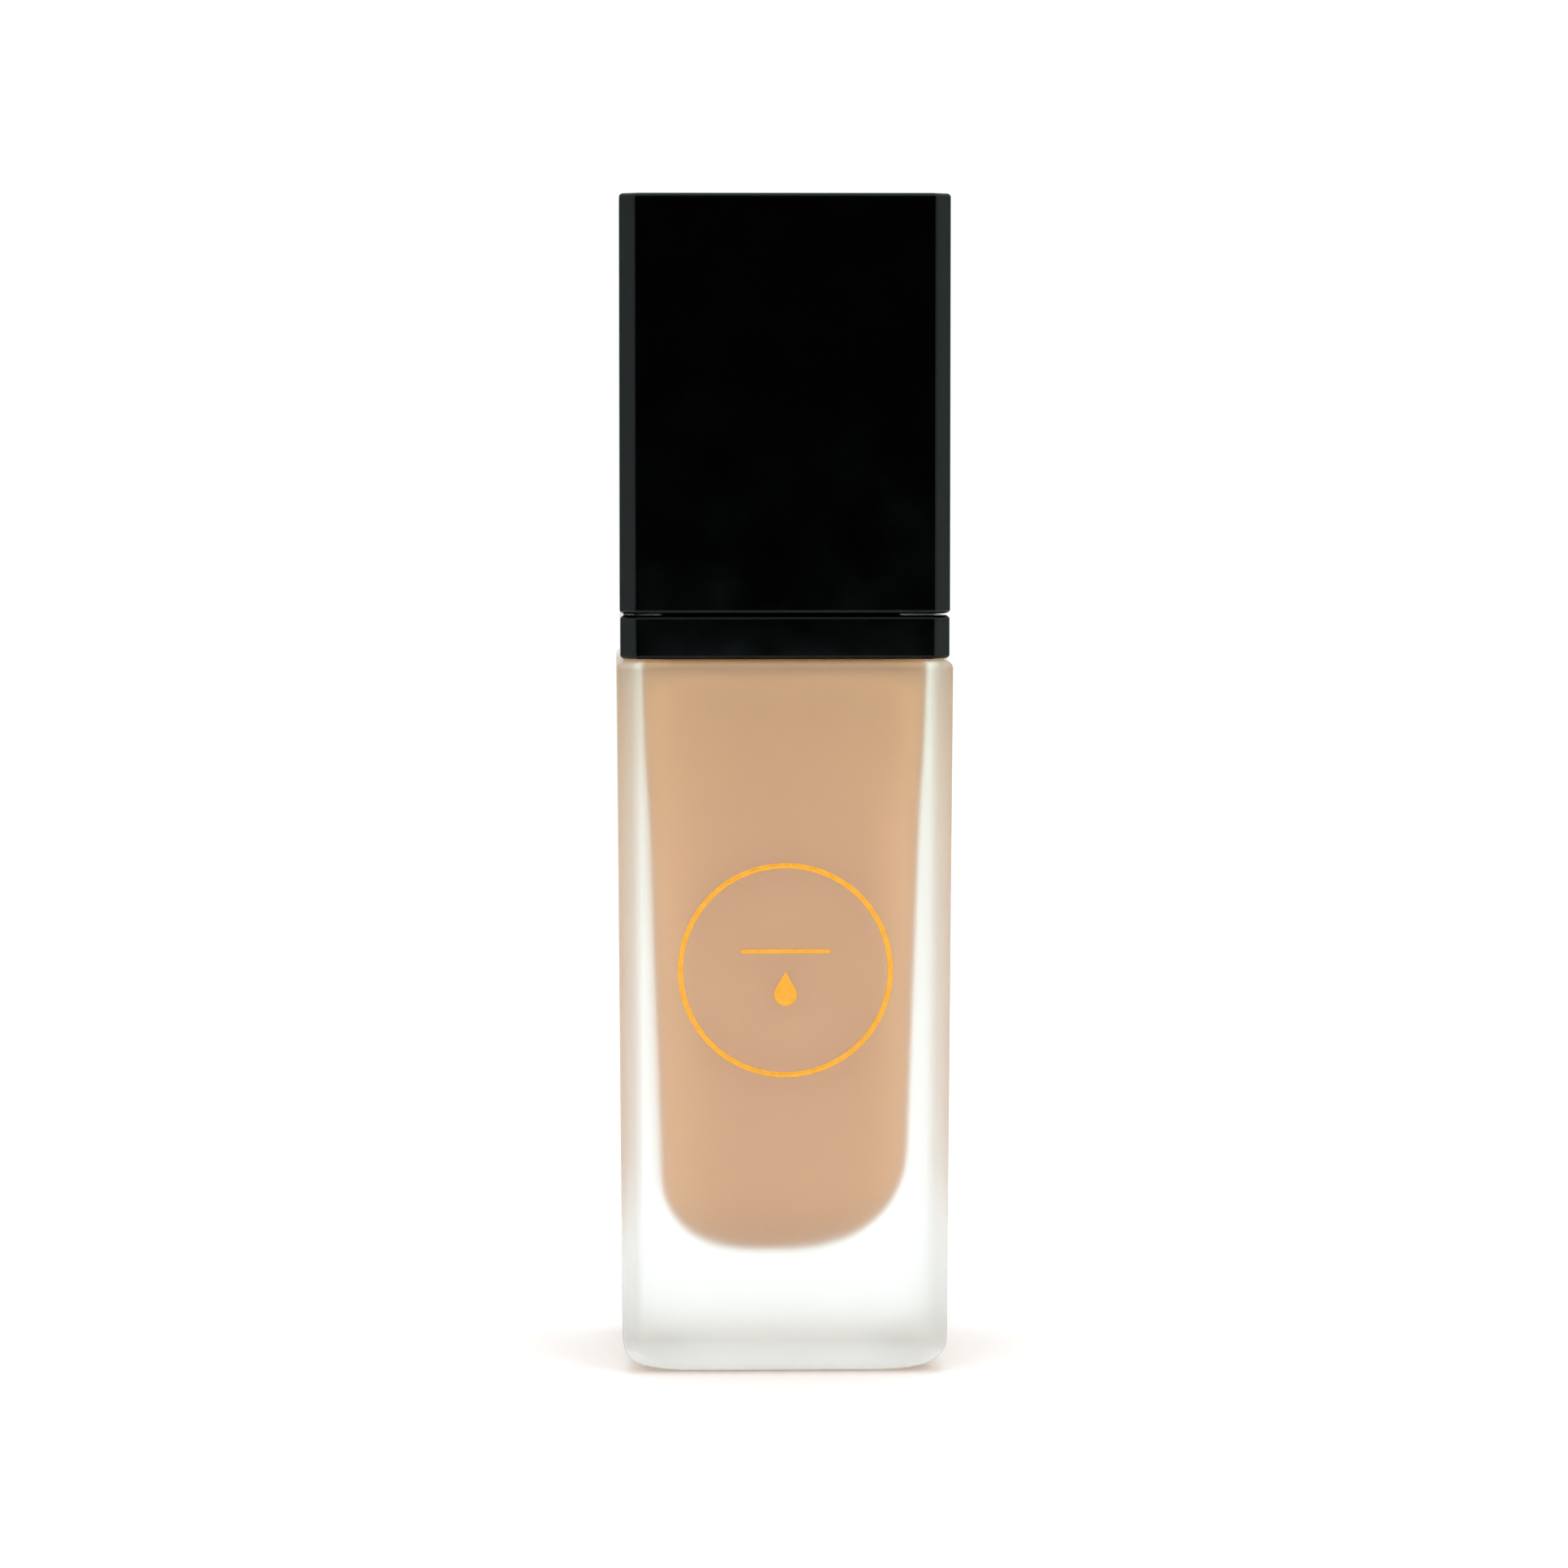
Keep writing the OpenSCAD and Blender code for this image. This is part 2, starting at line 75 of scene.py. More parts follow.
NECK_H = 8.4            # height of the neck above its square step
STEP_H = 3.3            # height of the step above the shoulder
NECK_TOP = spans("glass_bottle")[1].z
STEP_TOP = NECK_TOP - NECK_H
SHOULDER = STEP_TOP - STEP_H
GLASS_LOW = 16.2        # half the width at the base
GLASS_HIGH = spans("glass_bottle")[1].x
TAPER = (GLASS_HIGH - GLASS_LOW) / SHOULDER    # half-width gained for each millimetre of height


# ---- Outlines ----

ARC = 16          # steps round each corner of a rounded square, and each quarter of a circle
EDGE = 0.12       # how far a crisp moulded edge is softened
SHARE = 0.45      # most of a side that the curve at one of its ends may take
TINY = 1e-9       # stands for the length of a side that has none, in a division
SIDE_ANGLES = range(-36, 37, 12)    # degrees about the axis of the points along a straight side


def soften(path, reach=EDGE, steps=4):
    """The path with each inner corner turned into a short curve, reach away on each side."""
    path = [np.array(point, float) for point in path]
    out = [path[0]]
    for before, corner, after in zip(path, path[1:], path[2:]):
        ends = []
        for other in (before, after):
            away = other - corner
            ends.append(corner + away * min(SHARE, reach / max(np.abs(away).max(), TINY)))
        for i in range(steps + 1):
            t = i / steps
            out.append((1 - t) ** 2 * ends[0] + 2 * t * (1 - t) * corner + t**2 * ends[1])
    return out + [path[-1]]


def rounded(x0, x1, y0, y1, r, z):
    """Points round a level rectangle with rounded corners."""
    centres = [(x1 - r, y1 - r), (x0 + r, y1 - r), (x0 + r, y0 + r), (x1 - r, y0 + r)]
    ring = []
    for turn, (x, y) in enumerate(centres):
        for i in range(ARC + 1):
            a = math.pi / 2 * (turn + i / ARC)
            ring.append(Vector((x + r * math.cos(a), y + r * math.sin(a), z)) * MM)
    return ring


def square(half, r, z):
    """The numbers of a centred rounded square, for rounded()."""
    return (-half, half, -half, half, r, z)


def circle(r, z):
    """The numbers of a circle about the axis, for rounded()."""
    return square(r, r, z)


def chamfered(half, chamfer, z):
    """Points round a centred square with chamfered corners, the new corners a little soft."""
    k = half - chamfer
    side = soften([(k, -half), (half, -k), (half, k)], steps=3)[1:-1]
    side += [(half, half * math.tan(math.radians(a))) for a in SIDE_ANGLES]
    side += soften([(half, -k), (half, k), (k, half)], steps=3)[1:-1]
    turns = [Matrix.Rotation(math.pi / 2 * i, 3, "Z") for i in range(4)]
    return [turn @ Vector((x, y, z)) * MM for turn in turns for x, y in side]


def round_inside(ring, r, z):
    """Points on a circle about the axis, one beside each point of a ring."""
    return [Vector((p.x, p.y, 0)).normalized() * r * MM + Vector((0, 0, z * MM)) for p in ring]


# ---- Meshes ----


def skin(mesh, rings, closed=False, capped=False):
    """Adds quads between neighbouring rings, closed from the last to the first, or capped."""
    rows = [[mesh.verts.new(p) for p in ring] for ring in rings]
    pairs = list(zip(rows, rows[1:]))
    if closed:
        pairs.append((rows[-1], rows[0]))
    for low, high in pairs:
        for i in range(len(low)):
            j = (i + 1) % len(low)
            mesh.faces.new((low[i], low[j], high[j], high[i]))
    if capped:
        mesh.faces.new(rows[0])
        mesh.faces.new(rows[-1])


def add_turned(mesh, profile, closed=True, turn=Matrix()):
    """Adds a piece of revolution through (radius, height) points."""
    skin(mesh, [[turn @ p for p in rounded(*circle(r, z))] for r, z in profile], closed)


def new_object(name, mesh):
    """An object for a bmesh, with double points merged and faces turned outwards."""
    bmesh.ops.remove_doubles(mesh, verts=mesh.verts, dist=SAME_POINT)
    bmesh.ops.dissolve_degenerate(mesh, edges=mesh.edges, dist=SAME_POINT)
    bmesh.ops.recalc_face_normals(mesh, faces=mesh.faces)
    data = bpy.data.meshes.new(name)
    mesh.to_mesh(data)
    mesh.free()
    piece = bpy.data.objects.new(name, data)
    bpy.context.scene.collection.objects.link(piece)
    return piece


def keep_flats(piece):
    """Shades the piece smooth, with normals that keep its flat faces flat."""
    for face in piece.data.polygons:
        face.use_smooth = True
    piece.modifiers.new("flat faces", "WEIGHTED_NORMAL")
    return piece


def loft(name, rings, closed=False):
    """A piece whose skin runs through the rings."""
    mesh = bmesh.new()
    skin(mesh, rings, closed)
    return keep_flats(new_object(name, mesh))


def turned(name, profile, closed=True, turn=Matrix()):
    """A piece of revolution through (radius, height) points, turned by a matrix."""
    mesh = bmesh.new()
    add_turned(mesh, profile, closed, turn)
    return keep_flats(new_object(name, mesh))


def cut(piece, cutter):
    """Takes the cutter's shape out of the piece."""
    boolean = piece.modifiers.new("cut", "BOOLEAN")
    boolean.object = cutter
    boolean.solver = "EXACT"
    piece.modifiers.move(len(piece.modifiers) - 1, 0)
    flats = piece.modifiers["flat faces"]
    flats.show_viewport = False
    graph = bpy.context.evaluated_depsgraph_get()
    piece.data = bpy.data.meshes.new_from_object(piece.evaluated_get(graph))
    flats.show_viewport = True
    piece.modifiers.remove(boolean)
    bpy.data.objects.remove(cutter)
    return piece


# ---- Shader nodes ----


def shade(tree, kind, inputs=(), **settings):
    """A new shader node. Each input is a value, or the socket that feeds it."""
    made = tree.nodes.new("ShaderNode" + kind)
    for key, value in settings.items():
        setattr(made, key, value)
    for socket, value in dict(inputs).items():
        if isinstance(value, bpy.types.NodeSocket):
            tree.links.new(value, made.inputs[socket])
        else:
            made.inputs[socket].default_value = value
    return made


def principled(name, values):
    """A new material, with its node tree and its Principled node set to those values."""
    material = bpy.data.materials.new(name)
    material.use_nodes = True
    tree = material.node_tree
    shader = tree.nodes["Principled BSDF"]
    for socket, value in values.items():
        shader.inputs[socket].default_value = value
    return material, tree, shader


def grain(tree, size, detail=2.0, stretch=(1, 1, 1)):
    """Noise with features of about size millimetres, longer along an axis stretched below 1."""
    where = shade(tree, "TexCoord").outputs["Object"]
    scaled = shade(tree, "Mapping", {"Vector": where, "Scale": stretch}).outputs["Vector"]
    inputs = {"Vector": scaled, "Scale": 1 / (size * MM), "Detail": detail}
    return shade(tree, "TexNoise", inputs).outputs["Fac"]


def between(tree, value, low, high, start=0.3, end=0.7):
    """The value's range from start to end, mapped to low to high."""
    inputs = {"Value": value, "From Min": start, "From Max": end, "To Min": low, "To Max": high}
    return shade(tree, "MapRange", inputs, clamp=True).outputs["Result"]


def over(tree, distance, start, end, low, high):
    """A distance from start to end, in millimetres, mapped to low to high."""
    return between(tree, distance, low, high, start * MM, end * MM)


def calculate(tree, operation, a, b=0.0):
    """A calculation on one or two values or sockets."""
    return shade(tree, "Math", {0: a, 1: b}, operation=operation).outputs["Value"]


def ramp(tree, value, *stops):
    """Colours along a value. Each stop is (position, (red, green, blue))."""
    made = shade(tree, "ValToRGB", {"Fac": value})
    elements = made.color_ramp.elements
    while len(elements) < len(stops):
        elements.new(0.5)
    for element, (position, colour) in zip(elements, stops):
        element.position = position
        element.color = (*colour, 1)
    return made.outputs["Color"]


def bump(tree, shader, *layers):
    """Bumps on a shader. Each layer is (height, depth in millimetres, strength)."""
    normal = None
    for height, depth, strength in layers:
        inputs = {"Height": height, "Distance": depth * MM, "Strength": strength}
        if normal:
            inputs["Normal"] = normal
        normal = shade(tree, "Bump", inputs).outputs["Normal"]
    tree.links.new(normal, shader.inputs["Normal"])


# ---- Materials ----

BASE_ETCH = (2, 13)         # heights over which the rougher etch of the base fades out
EDGE_ETCH = (30.1, 31.0)    # |x| + |y| at the base, over which that of the upright edges sets in
PAINTED_SHADE_RISE = (20, 75)        # heights over which painted shade darkens and warms the glass towards the collar


def frosted_glass():
    """Glass etched to a satin, rougher low in its base and along its upright edges."""
    material, tree, shader = principled("frosted_glass", {"Transmission Weight": 0.92, "IOR": 1.5})
    where = shade(tree, "TexCoord").outputs["Object"]
    x, y, z = shade(tree, "SeparateXYZ", {"Vector": where}).outputs
    reach = calculate(tree, "ADD", calculate(tree, "ABSOLUTE", x), calculate(tree, "ABSOLUTE", y))
    taper = calculate(tree, "MULTIPLY", z, 2 * TAPER)
    base = over(tree, z, *BASE_ETCH, 0.3, 0)
    edges = over(tree, calculate(tree, "SUBTRACT", reach, taper), *EDGE_ETCH, 0, 0.45)
    satin = between(tree, grain(tree, 9, detail=3), 0.3, 0.34)
    etch = calculate(tree, "ADD", satin, calculate(tree, "MAXIMUM", base, edges))
    tree.links.new(etch, shader.inputs["Roughness"])
    # painted shade: the glass's colour turns darker and warmer with height, standing in for the
    # shade under the black collar and a warm cast from the liquid
    rise = over(tree, z, *PAINTED_SHADE_RISE, 0, 1)
    cool, pale, painted_shade_warm = (0.955, 1, 0.985), (0.93, 0.99, 0.94), (0.86, 0.925, 0.805)
    tree.links.new(ramp(tree, rise, (0, cool), (0.6, pale), (1, painted_shade_warm)), shader.inputs["Base Color"])
    bump(tree, shader, (grain(tree, 14), 0.05, 0.15), (grain(tree, 0.16, detail=3), 0.012, 0.35))
    return material


def foundation():
    """Beige liquid that wets the glass, with faint streaks where it last ran down."""
    material, tree, shader = principled("foundation", {"Roughness": 0.42, "IOR": 1.4})
    runs = grain(tree, 7, detail=3, stretch=(1, 1, 0.3))
    tone = ramp(tree, runs, (0.3, (0.8, 0.402, 0.163)), (0.7, (0.84, 0.432, 0.183)))
    tree.links.new(tone, shader.inputs["Base Color"])
    bump(tree, shader, (grain(tree, 2.5), 0.03, 0.2))
    return material


def gold_print():
    """Gold ink fired onto the glass, a little uneven where it pooled."""
    material, tree, shader = principled("gold_print", {"Metallic": 0.25})
    pooled = grain(tree, 0.7, detail=4)
    tone = ramp(tree, pooled, (0.3, (0.74, 0.33, 0.018)), (0.7, (0.84, 0.39, 0.03)))
    tree.links.new(tone, shader.inputs["Base Color"])
    tree.links.new(between(tree, pooled, 0.28, 0.45), shader.inputs["Roughness"])
    bump(tree, shader, (grain(tree, 0.09), 0.006, 0.4))
    return material


def black_gloss():
    """Polished black plastic with faint hairlines and handling marks."""
    material, tree, shader = principled("black_gloss", {
        "Base Color": (0.0004, 0.0004, 0.0005, 1),
        "IOR": 1.49,
        "Specular IOR Level": 0.2,
        "Specular Tint": (0.74, 1.0, 0.97, 1),
    })
    marks = grain(tree, 6, detail=5)
    hairs = grain(tree, 0.25, detail=2, stretch=(1, 1, 0.04))
    tree.links.new(between(tree, marks, 0.05, 0.12), shader.inputs["Roughness"])
    bump(tree, shader, (grain(tree, 18), 0.02, 0.1), (hairs, 0.002, 0.12))
    return material


def moulded(name, low, high, roughness, pit=0.35, depth=0.01):
    """Moulded plastic: a tone that drifts between two colours, over a fine skin of pits."""
    material, tree, shader = principled(name, {})
    drift = grain(tree, 3.5, detail=4)
    tree.links.new(ramp(tree, drift, (0.3, low), (0.7, high)), shader.inputs["Base Color"])
    spread = between(tree, drift, roughness - 0.06, roughness + 0.08)
    tree.links.new(spread, shader.inputs["Roughness"])
    bump(tree, shader, (grain(tree, pit), depth, 0.5))
    return material


def drawn_steel():
    """Stainless steel with fine drawing lines."""
    material, tree, shader = principled("stainless_steel", {"Metallic": 1.0})
    lines = grain(tree, 0.12, detail=3, stretch=(1, 1, 5))
    tone = ramp(tree, lines, (0.3, (0.5, 0.49, 0.47)), (0.7, (0.66, 0.65, 0.63)))
    tree.links.new(tone, shader.inputs["Base Color"])
    tree.links.new(between(tree, lines, 0.18, 0.34), shader.inputs["Roughness"])
    bump(tree, shader, (lines, 0.004, 0.3))
    return material


def tube_plastic():
    """Natural polyethylene: milky, and half see-through."""
    material, tree, shader = principled("clear_plastic", {
        "Base Color": (0.86, 0.88, 0.87, 1),
        "Transmission Weight": 0.65,
        "IOR": 1.5,
        "Roughness": 0.3,
    })
    bump(tree, shader, (grain(tree, 0.5, stretch=(1, 1, 0.1)), 0.008, 0.4))
    return material


MATERIALS = {
    "frosted_glass": frosted_glass(),
    "foundation": foundation(),
    "gold_print": gold_print(),
    "black_gloss": black_gloss(),
    "white_plastic": moulded("white_plastic", (0.72, 0.72, 0.7), (0.8, 0.8, 0.785), 0.38),
    "clear_plastic": tube_plastic(),
    "grey_plastic": moulded("grey_plastic", (0.03, 0.03, 0.032), (0.045, 0.045, 0.047), 0.36),
    "soft_seal": moulded("soft_seal", (0.42, 0.43, 0.44), (0.52, 0.53, 0.54), 0.62, pit=0.2),
    "stainless_steel": drawn_steel(),
}
SLOTS = {part["node"]: part["material_slot"] for part in frame["record"]["subparts"]}
BEHAVIOUR = frame["record"]["behaviour"]
BODIES = {name: body for body, names in BEHAVIOUR["bodies"].items() for name in names}


def stand_for(piece, *names):
    """The piece takes the place of CAD nodes: it rides on their body and wears their material."""
    slot = SLOTS[names[0]]
    piece.data.materials.clear()
    piece.data.materials.append(MATERIALS[slot])
    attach(piece, BODIES[names[0]])
    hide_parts(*names)
    return piece


WELD = 1e-6             # metres within which a CAD node's points are joined
CAD_EDGE = 0.06         # how far its edges are softened
SHARP = 35              # degrees between two faces from which their edge is softened


def dress(name):
    """A CAD node that stays in view: its own shape, with softened edges and a better material."""
    part = frame["nodes"][name]
    for slot in part.material_slots:
        slot.material = MATERIALS[SLOTS[name]]
    weld = part.modifiers.new("weld", "WELD")
    weld.merge_threshold = WELD
    bevel = part.modifiers.new("soft edges", "BEVEL")
    bevel.width = CAD_EDGE * MM
    bevel.segments = 2
    bevel.angle_limit = math.radians(SHARP)
    part.modifiers.new("flat faces", "WEIGHTED_NORMAL")


# ---- Glass and liquid ----

BASE_ROUND = 3.5
EDGE_R = 1.6
SHOULDER_ROUND = 0.8
PUNT_HALF, PUNT_R, PUNT_DEPTH, PUNT_SLOPE = 10, 3, 0.5, 0.8    # the recess under the base
STEP_HALF, STEP_R = 15.2, 3                                    # the square step below the neck
NECK_R = 7.8
BORE_R = 5.6                    # inside of the neck
BEAD_R, BEAD_H, BEAD_SLOPE = 8.8, 2.4, 0.8
MOUTH_C, MOUTH_H = 0.4, 0.6     # bevel round the neck's rim
LIQUID_LOW, LIQUID_HIGH = spans("foundation_fluid")
CAVITY_FLOOR = LIQUID_LOW.z - 0.08      # the CAD liquid stands this far off the glass
CAVITY_ROOF = SHOULDER + 1.7
CAVITY_HALF = 12.05     # half the cavity's width at its floor, before the floor is rounded
CAVITY_R = 5.5          # radius of its corners
CORNER_SHARE = 0.45     # most of its width that one corner may take
DRAFT = 0.034           # half-width that it gains for each millimetre of height
FLARE = 0.2             # half-width that it gains besides, between two heights
FLARE_START, FLARE_END = 55, 63
FLOOR_LEFT, FLOOR_RIGHT, FLOOR_DEPTH = 7.5, 10.2, 8    # radii of the blown floor
ROOF_ROUND = 3.0
BASE_STEPS, SHOULDER_STEPS = 10, 8
FLOOR_STEPS, WALL_STEPS, ROOF_STEPS = 14, 18, 6
FILL = LIQUID_HIGH.z
WET = 0.03              # how far the liquid stands into the glass, so that it wets it
SURFACE_INSET = 1.8     # how far the surface's edge is from the walls, under the round roof
SURFACE_R = 4           # radius of its corners
SURFACE_SHARES = (1, 0.97, 0.9, 0.7)    # its outlines, as shares of the outermost one
SURFACE_CLEAR = 0.1     # least height between the surface and the outline below it
DISH = 0.12             # how much lower it is at the pump than at its edge
PUMP_LOW, PUMP_HIGH = spans("pump_housing")
CYLINDER_H = 24.7       # how far below the pump's top the room for its cylinder ends
ROOM = 0.1              # gap between the liquid and the pump
CYLINDER_R, SOCKET_R, TUBE_R = 5.3 + ROOM, 3.3 + ROOM, 2 + ROOM    # radii of the pump's room


def quarter(steps):
    """Angles over a quarter turn, in radians."""
    return [math.pi / 2 * i / steps for i in range(steps + 1)]


def glass_half(z):
    """Half the width of the glass at a height."""
    return GLASS_LOW + TAPER * z


def glass_outline(z, inset=0.0):
    """The outside of the glass at a height, held in by inset."""
    return square(glass_half(z) - inset, EDGE_R + inset, z)


def held_in(r, h):
    """How far a floor rounding of radius r holds a wall in, at height h above the floor."""
    return 0.0 if h >= r else r - math.sqrt(r * r - (r - h) ** 2)


def cavity_outline(z, inset=0.0):
    """The inside of the glass at a height: its blown floor is rounder on the right."""
    h = z - CAVITY_FLOOR
    t = min(max((z - FLARE_START) / (FLARE_END - FLARE_START), 0), 1)
    half = CAVITY_HALF + h * DRAFT + FLARE * t * t * (3 - 2 * t) - inset
    x0, x1 = held_in(FLOOR_LEFT, h) - half, half - held_in(FLOOR_RIGHT, h)
    y1 = half - held_in(FLOOR_DEPTH, h)
    corner = min(CAVITY_R, CORNER_SHARE * (x1 - x0), CORNER_SHARE * 2 * y1)
    return (x0, x1, -y1, y1, corner, z)


def cavity(inset=0.0):
    """Outlines of the cavity from its floor to its roof."""
    floor = [CAVITY_FLOOR + FLOOR_RIGHT * (1 - math.cos(a)) for a in quarter(FLOOR_STEPS)]
    walls = np.linspace(CAVITY_FLOOR + FLOOR_RIGHT, CAVITY_ROOF - ROOF_ROUND, WALL_STEPS)[1:]
    outlines = [cavity_outline(float(z), inset) for z in [*floor, *walls]]
    for a in quarter(ROOF_STEPS)[1:]:
        z = CAVITY_ROOF - ROOF_ROUND * (1 - math.sin(a))
        outlines.append(cavity_outline(z, inset + ROOF_ROUND * (1 - math.cos(a))))
    return outlines


def centre_of(outline):
    """An outline shrunk to a point in its middle."""
    x0, x1, y0, y1, _, z = outline
    return ((x0 + x1) / 2, (x0 + x1) / 2, (y0 + y1) / 2, (y0 + y1) / 2, 0, z)


def make_bottle():
    """One closed skin: up the outside, over the neck's rim, and down the cavity to its floor."""
    outside = soften([
        square(0, 0, PUNT_DEPTH), square(PUNT_HALF - PUNT_SLOPE, PUNT_R, PUNT_DEPTH),
        square(PUNT_HALF, PUNT_R, 0), glass_outline(0, BASE_ROUND),
    ], reach=0.9)
    for a in quarter(BASE_STEPS)[1:]:
        z = BASE_ROUND * (1 - math.cos(a))
        outside.append(glass_outline(z, BASE_ROUND * (1 - math.sin(a))))
    for a in quarter(SHOULDER_STEPS):
        z = SHOULDER - SHOULDER_ROUND * (1 - math.sin(a))
        outside.append(glass_outline(z, SHOULDER_ROUND * (1 - math.cos(a))))
    inside = cavity()[::-1]
    bead = NECK_TOP - BEAD_H
    neck = soften([
        outside[-1], square(STEP_HALF, STEP_R, SHOULDER), square(STEP_HALF, STEP_R, STEP_TOP),
        circle(NECK_R, STEP_TOP), circle(NECK_R, bead - BEAD_SLOPE), circle(BEAD_R, bead),
        circle(BEAD_R, NECK_TOP - MOUTH_H), circle(BEAD_R - MOUTH_C, NECK_TOP),
        circle(BORE_R, NECK_TOP), circle(BORE_R, CAVITY_ROOF), inside[0],
    ], reach=0.3)
    outlines = [*outside, *neck[1:-1], *inside, centre_of(inside[-1])]
    return loft("bottle", [rounded(*outline) for outline in outlines])


def make_liquid():
    """The liquid wets the cavity's walls, is dished above, and leaves room for the pump."""
    filled = [outline for outline in cavity(-WET) if outline[-1] < FILL - SURFACE_CLEAR]
    half = cavity_outline(FILL, SURFACE_INSET)[1]
    surface = [
        square(half * s, SURFACE_R * s, FILL - DISH * (1 - s)) for s in SURFACE_SHARES
    ]
    ledge = PUMP_HIGH.z - CYLINDER_H
    socket = PUMP_LOW.z - ROOM
    foot = spans("dip_tube")[0].z - ROOM
    room = [
        (CYLINDER_R, FILL - DISH), (CYLINDER_R, ledge), (SOCKET_R, ledge),
        (SOCKET_R, socket), (TUBE_R, socket), (TUBE_R, foot), (0, foot),
    ]
    outlines = [centre_of(filled[0]), *filled, *surface, *[circle(r, z) for r, z in room]]
    return loft("liquid", [rounded(*outline) for outline in outlines])


stand_for(make_bottle(), "glass_bottle")
stand_for(make_liquid(), "foundation_fluid")


# ---- Print ----

INK_EDGE = [(0, 0), (0.01, 0.03), (0.05, 0.05)]    # (distance in from the ink's edge, thickness)
OFF_GLASS = 0.005       # how far the ink stands off the glass
PRINT_LOW, PRINT_HIGH = spans("front_print")
RING_R = PRINT_HIGH.x
RING_LINE = 0.54        # width of the ring's line
RING_Z = (PRINT_LOW.z + PRINT_HIGH.z) / 2
RULE_W, RULE_H = 9.0, 0.42
RULE_RISE = 1.9         # height of the rule above the ring's centre
RULE_ENDS = 0.9         # radius of its corners, as a share of half its height
DROP_R, DROP_H = 1.15, 2.3      # radius of the drop, and height of its point above its centre
DROP_FALL = 2.4         # how far its centre is below the ring's
DROP_STEPS = 40


def ring_points(r, z, steps=192):
    """Points round a large smooth circle."""
    turns = [2 * math.pi * i / steps for i in range(steps)]
    return [Vector((r * math.cos(a), r * math.sin(a), z)) * MM for a in turns]


def rule_points(inset, z):
    """Points round the short rule."""
    w, h = RULE_W / 2 - inset, RULE_H / 2 - inset
    points = rounded(-w, w, -h, h, RULE_ENDS * h, z)
    return [p + Vector((0, RULE_RISE * MM, 0)) for p in points]


def drop_points(inset, z):
    """Points round the drop: a circle drawn out upwards to a point."""
    r, h = DROP_R - inset, DROP_H - 2 * inset
    start = math.asin(r / h)
    step = (math.pi + 2 * start) / DROP_STEPS
    turns = [math.pi - start + i * step for i in range(DROP_STEPS + 1)]
    outline = [(0, h)] + [(r * math.cos(a), r * math.sin(a)) for a in turns]
    return [Vector((x, y - DROP_FALL, z)) * MM for x, y in outline]


def make_print():
    """A ring, a short rule and a drop of ink, on the tapered front face."""
    mesh = bmesh.new()
    section = INK_EDGE + [(RING_LINE - x, z) for x, z in reversed(INK_EDGE)]
    skin(mesh, [ring_points(RING_R - RING_LINE + x, z) for x, z in section], closed=True)
    for points in (rule_points, drop_points):
        skin(mesh, [points(x, z) for x, z in INK_EDGE], capped=True)
    place = Matrix.Translation(Vector((0, -glass_half(RING_Z) - OFF_GLASS, RING_Z)) * MM)
    tilt = Matrix.Rotation(math.pi / 2 + math.atan(TAPER), 4, "X")
    bmesh.ops.transform(mesh, matrix=place @ tilt, verts=mesh.verts)
    return keep_flats(new_object("print", mesh))


stand_for(make_print(), "front_print")


# ---- Collar and cap ----

CORNER = 1.5            # leg of the chamfers on the upright edges
LEVEL = 0.25            # leg of the chamfers on the level edges
COLLAR_LOW, COLLAR_HIGH = spans("square_collar")
CAP_LOW, CAP_HIGH = spans("overcap_shell")
SEAM = 0.2              # gap between collar and cap
DECK_TOP = CAP_LOW.z - SEAM
DECK_RIM = 1.2          # how far in from its edge the deck's outline stays square
DECK_R = 11.3           # where the deck ends, inside the upstand
SKIRT = 1               # thickness of the collar beside its recess
RECESS_C = 1.6          # leg of the recess's corners
RECESS_TOP = STEP_TOP + 0.15
UPSTAND_R = 12
UPSTAND_C = 0.4         # bevel round its top
FILLET = 0.3            # curve between deck and upstand
SEAT_R = 10.6           # room in the upstand for the snap ring
HOLE_R = 8.2            # hole in its top
HOLE_C = 0.2            # bevel round that hole
LIP = 0.95              # thickness of its top
CAP_WALL = 1.4
CAP_CEILING = CAP_HIGH.z - 2
INNER_CORNER = 0.9      # leg of the chamfers inside the cap
LINER_LOW, LINER_HIGH = spans("overcap_liner")
LINER_R = 12.1          # inside of the sleeve
LINER_WALL = 1.3
PLATE = 1.2             # thickness of the liner's ceiling and of its lower plate
LEAD_H, LEAD_C = 0.5, 0.35      # flare at the sleeve's mouth
PLATE_RIM = 0.6         # how far in from its edge the plate's outline stays square
PLATE_R = 12.9          # where the plate ends, inside the sleeve's wall
RIB_HALF, RIB_ROOT = 0.55, 0.5  # half the ribs' thickness, and how deep they start in the wall
RIB_GAP = 0.2           # gap between the ribs' ends and the line of the cap's corners
RIB_C = 0.1             # bevel at their ends
STIFFENER_R = 6         # radius of the ring on the ceiling
LAP = 0.1               # how far one part of a moulding reaches into the next


def add_square_ring(mesh, path, r):
    """Adds a ring, square outside through (half, chamfer, height) points, and round inside."""
    rings = [chamfered(*numbers) for numbers in path]
    first = round_inside(rings[0], r, path[0][-1])
    last = round_inside(rings[-1], r, path[-1][-1])
    skin(mesh, [first, *rings, last], closed=True)


